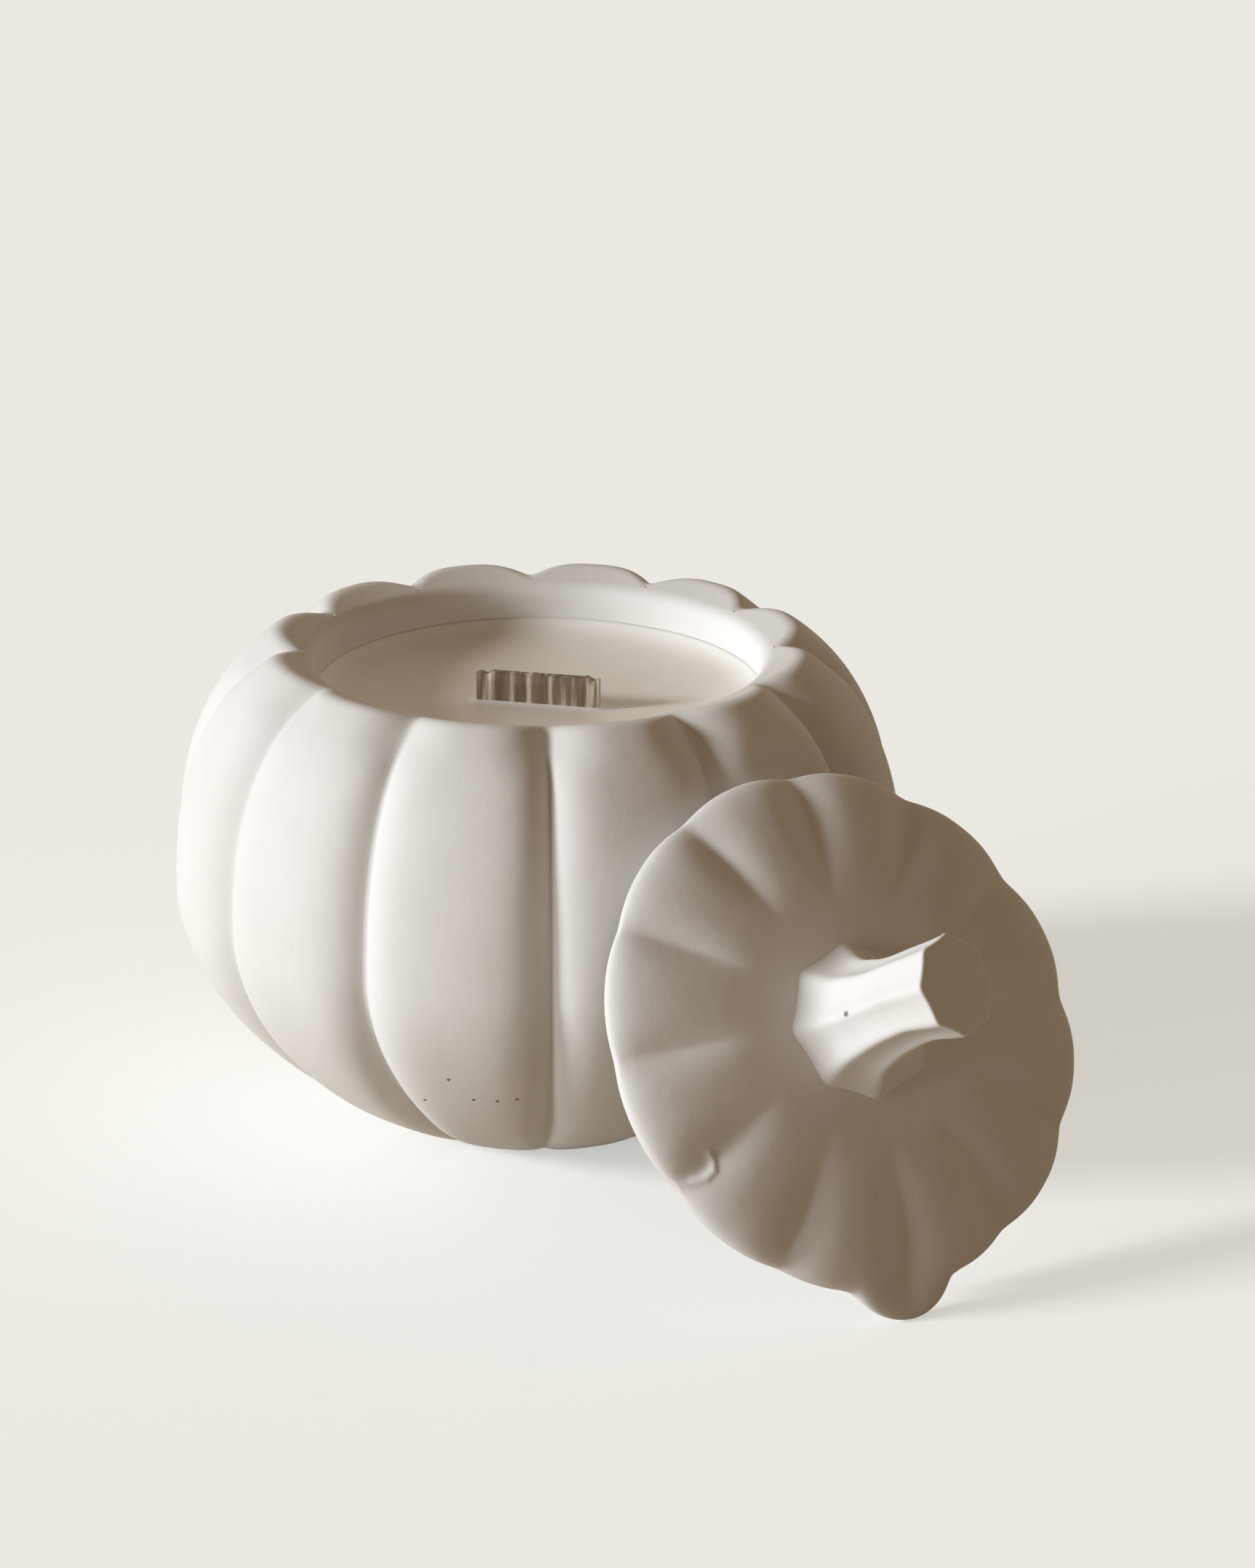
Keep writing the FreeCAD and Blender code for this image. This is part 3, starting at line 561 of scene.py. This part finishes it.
def build_stem(place):
    """Fluted stem that flares at its foot and ends in a slanted face."""
    azimuth = turns(STEM_COLUMNS)
    foot = dome_level(CROWN_FLAT)
    slant_turn = math.radians(TIP_SLANT_TURN)
    slant_axis = Vector((-math.sin(slant_turn), math.cos(slant_turn), 0.0))
    rows = []

    def add_row(level, inset, lift):
        """Ring at a level, drawn in by inset and raised by lift before it is slanted."""
        share = float(smooth((level - STEM_WAIST) / (STEM_LENGTH - STEM_WAIST)))
        hollow = FLUTE_HOLLOW + (TIP_HOLLOW - FLUTE_HOLLOW) * share
        line = ring(stem_radius(level, hollow, azimuth) - inset, lift, azimuth)
        tilt = np.array(Matrix.Rotation(math.radians(TIP_SLANT) * share, 3, slant_axis), float)
        rows.append(line @ tilt.T + np.array([0.0, -TIP_SHIFT * share, foot + level]))

    for level in np.linspace(0.0, STEM_LENGTH, STEM_ROWS):
        add_row(level, 0.0, -TIP_EDGE if level == STEM_LENGTH else 0.0)
    for angle in np.radians((30.0, 60.0, 90.0)):
        add_row(STEM_LENGTH, TIP_EDGE * (1.0 - math.cos(angle)), -TIP_EDGE * (1.0 - math.sin(angle)))
    add_row(STEM_LENGTH, TIP_INSET, 0.0)
    sunk = rows[0].copy()
    sunk[:, 2] -= STEM_SINK
    rows.insert(0, sunk)
    return skin("pumpkin_stem", rows, place)


# ---------------------------------------------------------------- materials

class Shader:
    """A node material that is put together one node at a time."""

    def __init__(self, name):
        self.material = bpy.data.materials.new(name)
        self.material.use_nodes = True
        self.nodes = self.material.node_tree.nodes
        self.links = self.material.node_tree.links
        self.surface = self.nodes["Principled BSDF"]
        self.place = self.nodes.new("ShaderNodeTexCoord").outputs["Object"]

    def noise(self, scale, detail=3.0, stretch=None):
        node = self.nodes.new("ShaderNodeTexNoise")
        node.inputs["Scale"].default_value = scale
        node.inputs["Detail"].default_value = detail
        source = self.place
        if stretch is not None:
            mapping = self.nodes.new("ShaderNodeMapping")
            mapping.inputs["Rotation"].default_value = stretch[0]
            mapping.inputs["Scale"].default_value = stretch[1]
            self.links.new(self.place, mapping.inputs["Vector"])
            source = mapping.outputs["Vector"]
        self.links.new(source, node.inputs["Vector"])
        return node.outputs["Fac"]

    def ramp(self, value, stops):
        node = self.nodes.new("ShaderNodeValToRGB")
        elements = node.color_ramp.elements
        while len(elements) < len(stops):
            elements.new(0.5)
        for element, (position, colour) in zip(elements, stops):
            element.position = position
            element.color = (*colour, 1.0)
        self.links.new(value, node.inputs["Fac"])
        return node.outputs["Color"]

    def spread(self, value, low, high):
        """A value from 0 to 1 brought to a range."""
        node = self.nodes.new("ShaderNodeMapRange")
        node.inputs["To Min"].default_value = low
        node.inputs["To Max"].default_value = high
        self.links.new(value, node.inputs["Value"])
        return node.outputs["Result"]

    def paint_shade(self, share, colour, shade_colour):
        """The colour, replaced by a painted shade colour as share rises to 1."""
        node = self.nodes.new("ShaderNodeMix")
        node.data_type = "RGBA"
        self.links.new(share, node.inputs["Factor"])
        self.links.new(colour, node.inputs["A"])
        node.inputs["B"].default_value = (*shade_colour, 1.0)
        return node.outputs["Result"]

    def math(self, operation, first, second):
        node = self.nodes.new("ShaderNodeMath")
        node.operation = operation
        for socket, value in zip(node.inputs, (first, second)):
            if isinstance(value, float):
                socket.default_value = value
            else:
                self.links.new(value, socket)
        return node.outputs["Value"]

    def spots(self, places, radius):
        """1 inside small round spots about points in millimetres, 0 elsewhere."""
        total = None
        for point in places:
            distance = self.nodes.new("ShaderNodeVectorMath")
            distance.operation = "DISTANCE"
            distance.inputs[1].default_value = [value * MM for value in point]
            self.links.new(self.place, distance.inputs[0])
            reach = self.nodes.new("ShaderNodeMapRange")
            reach.inputs["From Min"].default_value = radius * MM
            reach.inputs["From Max"].default_value = 0.3 * radius * MM
            self.links.new(distance.outputs["Value"], reach.inputs["Value"])
            spot = reach.outputs["Result"]
            total = spot if total is None else self.math("MAXIMUM", total, spot)
        return total

    def bump(self, height, distance, below=None):
        node = self.nodes.new("ShaderNodeBump")
        node.inputs["Distance"].default_value = distance * MM
        self.links.new(height, node.inputs["Height"])
        if below is not None:
            self.links.new(below, node.inputs["Normal"])
        return node.outputs["Normal"]

    def finish(self, colour, roughness, normal):
        self.links.new(colour, self.surface.inputs["Base Color"])
        self.links.new(roughness, self.surface.inputs["Roughness"])
        self.links.new(normal, self.surface.inputs["Normal"])
        return self.material


def bisque(name, pinholes=(), pinhole_radius=0.0):
    """Matt unglazed white ceramic: fine tooth, faint mottling and, where asked for, pinholes darkened
    with painted shade.
    """
    shader = Shader(name)
    mottle = shader.noise(45.0, 4.0)
    colour = shader.ramp(mottle, ((0.25, (0.74, 0.735, 0.715)), (0.75, (0.79, 0.785, 0.775))))
    normal = shader.bump(shader.noise(2600.0), 0.012)
    normal = shader.bump(shader.noise(330.0), 0.05, normal)
    if pinholes:
        pits = shader.spots(pinholes, pinhole_radius)
        # Painted shade: each pinhole is coloured dark brown for the shade inside it.
        colour = shader.paint_shade(pits, colour, (0.20, 0.16, 0.12))
        normal = shader.bump(shader.math("SUBTRACT", 1.0, pits), 0.3, normal)
    shader.surface.inputs["Specular IOR Level"].default_value = 0.15
    return shader.finish(colour, shader.spread(shader.noise(160.0), 0.70, 0.88), normal)


def wax():
    """Soft white wax, a little smoother than the pot, that lets some light in."""
    shader = Shader("wax")
    patches = shader.noise(60.0, 2.0)
    colour = shader.ramp(patches, ((0.3, (0.83, 0.80, 0.75)), (0.7, (0.88, 0.86, 0.82))))
    normal = shader.bump(shader.noise(220.0, 2.0), 0.04)
    shader.surface.inputs["Subsurface Weight"].default_value = 0.15
    shader.surface.inputs["Subsurface Radius"].default_value = (0.004, 0.003, 0.002)
    shader.surface.inputs["Subsurface Scale"].default_value = 1.0
    return shader.finish(colour, shader.spread(shader.noise(90.0), 0.42, 0.60), normal)


def wick_wood():
    """Brown board with upright grain, darker where it is singed."""
    shader = Shader("wick_wood")
    upright = ((0.0, 0.0, -math.radians(WICK_TURN)), (1.0, 1.0, 0.06))
    strokes = shader.noise(900.0, 3.0, upright)
    broad = shader.noise(150.0, 1.0, upright)
    tone = shader.math("ADD", strokes, shader.spread(broad, -0.17, 0.13))
    singed, brown, bare = (0.12, 0.09, 0.06), (0.22, 0.165, 0.11), (0.60, 0.54, 0.45)
    colour = shader.ramp(tone, ((0.30, singed), (0.47, brown), (0.62, bare)))
    normal = shader.bump(strokes, 0.15)
    return shader.finish(colour, shader.spread(strokes, 0.6, 0.85), normal)


def clip_steel():
    """Thin rolled steel with a fine brushed grain."""
    shader = Shader("clip_steel")
    grain = shader.noise(1500.0, 2.0, ((0.0, 0.0, -math.radians(WICK_TURN)), (0.05, 1.0, 1.0)))
    colour = shader.ramp(grain, ((0.3, (0.50, 0.50, 0.50)), (0.7, (0.62, 0.62, 0.61))))
    shader.surface.inputs["Metallic"].default_value = 1.0
    return shader.finish(colour, shader.spread(grain, 0.28, 0.42), shader.bump(grain, 0.01))


def sticker_paper():
    """White paper with a faint fibre."""
    shader = Shader("sticker_paper")
    fibre = shader.noise(1200.0, 4.0)
    colour = shader.ramp(fibre, ((0.3, (0.78, 0.77, 0.74)), (0.7, (0.86, 0.85, 0.83))))
    return shader.finish(colour, shader.spread(fibre, 0.7, 0.9), shader.bump(fibre, 0.02))


def pot_point(azimuth, level):
    """A point on the pot's outside, in millimetres."""
    radius = float(pot_radius(np.array(level), np.array(azimuth)))
    angle = math.radians(azimuth)
    return (radius * math.cos(angle), radius * math.sin(angle), level)


def stem_point(azimuth, level, place):
    """A point on the stem's outside, level counted from the stem's foot."""
    around = turns(STEM_COLUMNS)
    reach = float(np.interp(azimuth, around, stem_radius(level, FLUTE_HOLLOW, around)))
    angle = math.radians(azimuth)
    foot = dome_level(CROWN_FLAT)
    return tuple(place @ Vector((reach * math.cos(angle), reach * math.sin(angle), foot + level)))


# ---------------------------------------------------------------- pieces on their bodies

def dress(piece, body, node, material):
    """Puts a new piece in place of a CAD node."""
    piece.data.materials.append(material)
    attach(piece, body)
    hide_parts(node)


def repaint(node, material):
    """Gives a CAD node another material, on its object and not its mesh."""
    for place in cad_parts[node].material_slots:
        place.link = "OBJECT"
        place.material = material


lid_frame = lid_place()
pot_pits = [pot_point(*place) for place in PIT_PLACES]
stem_pits = [stem_point(*STEM_PIT, lid_frame)]
pot_bisque = bisque("pot_bisque", pot_pits, PIT_RADIUS)
lid_bisque = bisque("lid_bisque")
stem_bisque = bisque("stem_bisque", stem_pits, STEM_PIT_RADIUS)

dress(build_pot(), "pot_body", "pot", pot_bisque)
dress(build_wax(), "pot_body", "wax_fill", wax())
dress(build_wick(), "pot_body", "wooden_wick", wick_wood())
dress(build_lid(lid_frame), "lid_body", "lid", lid_bisque)
dress(build_stem(lid_frame), "lid_body", "stem", stem_bisque)
repaint("wick_clip", clip_steel())
repaint("wick_sticker", sticker_paper())


# ---------------------------------------------------------------- floor, light and camera

def heading(azimuth, pitch):
    """Unit vector towards an azimuth, pitched up from level."""
    turn, rise = math.radians(azimuth), math.radians(pitch)
    return Vector((math.cos(turn) * math.cos(rise), math.sin(turn) * math.cos(rise), math.sin(rise)))


def seen_directly(nodes, links):
    """1 for rays from the camera, mirrors and glass, 0 for the light that surfaces send each other."""
    rays = nodes.new("ShaderNodeLightPath")
    seen = rays.outputs["Is Camera Ray"]
    for name in ("Is Glossy Ray", "Is Transmission Ray"):
        either = nodes.new("ShaderNodeMath")
        either.operation = "MAXIMUM"
        links.new(seen, either.inputs[0])
        links.new(rays.outputs[name], either.inputs[1])
        seen = either.outputs[0]
    return seen


def build_floor():
    """Pale floor that runs out of view, darker for the light it sends back than for the camera."""
    size = 4.0
    corners = [(-size, -size, 0.0), (size, -size, 0.0), (size, size, 0.0), (-size, size, 0.0)]
    mesh = bpy.data.meshes.new("floor")
    mesh.from_pydata(corners, [], [(0, 1, 2, 3)])
    floor = bpy.data.objects.new("floor", mesh)
    bpy.context.scene.collection.objects.link(floor)
    material = bpy.data.materials.new("floor")
    material.use_nodes = True
    nodes, links = material.node_tree.nodes, material.node_tree.links
    nodes.clear()
    shown = nodes.new("ShaderNodeBsdfDiffuse")
    shown.inputs["Color"].default_value = (0.70, 0.70, 0.69, 1.0)
    glow = nodes.new("ShaderNodeEmission")
    glow.inputs["Color"].default_value = (0.855, 0.878, 0.858, 1.0)
    glow.inputs["Strength"].default_value = 0.563
    pale = nodes.new("ShaderNodeAddShader")
    links.new(shown.outputs[0], pale.inputs[0])
    links.new(glow.outputs[0], pale.inputs[1])
    bounce = nodes.new("ShaderNodeBsdfDiffuse")
    bounce.inputs["Color"].default_value = (0.63, 0.54, 0.43, 1.0)
    choice = nodes.new("ShaderNodeMixShader")
    links.new(seen_directly(nodes, links), choice.inputs["Fac"])
    links.new(bounce.outputs[0], choice.inputs[1])
    links.new(pale.outputs[0], choice.inputs[2])
    output = nodes.new("ShaderNodeOutputMaterial")
    links.new(choice.outputs[0], output.inputs["Surface"])
    mesh.materials.append(material)


def add_sun(name, travel, height, strength, spread, colour):
    """Distant soft lamp. travel is the azimuth its light runs towards, height its angle above level."""
    lamp = bpy.data.lights.new(name, "SUN")
    lamp.energy = strength
    lamp.angle = math.radians(spread)
    lamp.color = colour
    sun = bpy.data.objects.new(name, lamp)
    sun.rotation_euler = heading(travel, -height).to_track_quat("-Z", "Y").to_euler()
    bpy.context.scene.collection.objects.link(sun)


def light_scene():
    """Low daylight from one side with a fill beside it, and a dim warm room that returns some of it."""
    daylight, warm = (0.97, 1.0, 1.03), (1.0, 0.88, 0.68)
    add_sun("window", travel=66.0, height=18.5, strength=2.5, spread=12.0, colour=daylight)
    add_sun("front_fill", travel=84.0, height=6.0, strength=1.0, spread=14.0, colour=daylight)
    add_sun("room_return", travel=292.0, height=33.0, strength=0.3, spread=60.0, colour=warm)
    world = bpy.data.worlds.new("room")
    world.use_nodes = True
    nodes, links = world.node_tree.nodes, world.node_tree.links
    room_light = nodes["Background"]
    room_light.inputs["Color"].default_value = (0.30, 0.200, 0.108, 1.0)
    room_light.inputs["Strength"].default_value = 0.58
    backdrop = nodes.new("ShaderNodeBackground")
    backdrop.inputs["Color"].default_value = (0.84, 0.82, 0.77, 1.0)
    choice = nodes.new("ShaderNodeMixShader")
    links.new(seen_directly(nodes, links), choice.inputs["Fac"])
    links.new(room_light.outputs[0], choice.inputs[1])
    links.new(backdrop.outputs[0], choice.inputs[2])
    links.new(choice.outputs[0], nodes["World Output"].inputs["Surface"])
    bpy.context.scene.world = world


def add_camera():
    """Camera that looks down on the pot, with the lid in front of it."""
    forward = heading(CAMERA_AZIMUTH, CAMERA_PITCH)
    roll = math.radians(CAMERA_ROLL)
    right = forward.cross(Vector((0.0, 0.0, 1.0))).normalized()
    up = right.cross(forward)
    tilted_right = right * math.cos(roll) + up * math.sin(roll)
    tilted_up = up * math.cos(roll) - right * math.sin(roll)
    lens = bpy.data.cameras.new("camera")
    lens.sensor_width = CAMERA_SENSOR
    lens.lens = CAMERA_LENS
    lens.clip_end = 20.0
    camera = bpy.data.objects.new("camera", lens)
    turn = Matrix((tilted_right, tilted_up, -forward)).transposed()
    camera.matrix_world = Matrix.Translation(Vector(CAMERA_PLACE) * MM) @ turn.to_4x4()
    bpy.context.scene.collection.objects.link(camera)
    bpy.context.scene.camera = camera


build_floor()
light_scene()
add_camera()
bpy.context.scene.view_settings.view_transform = "Standard"
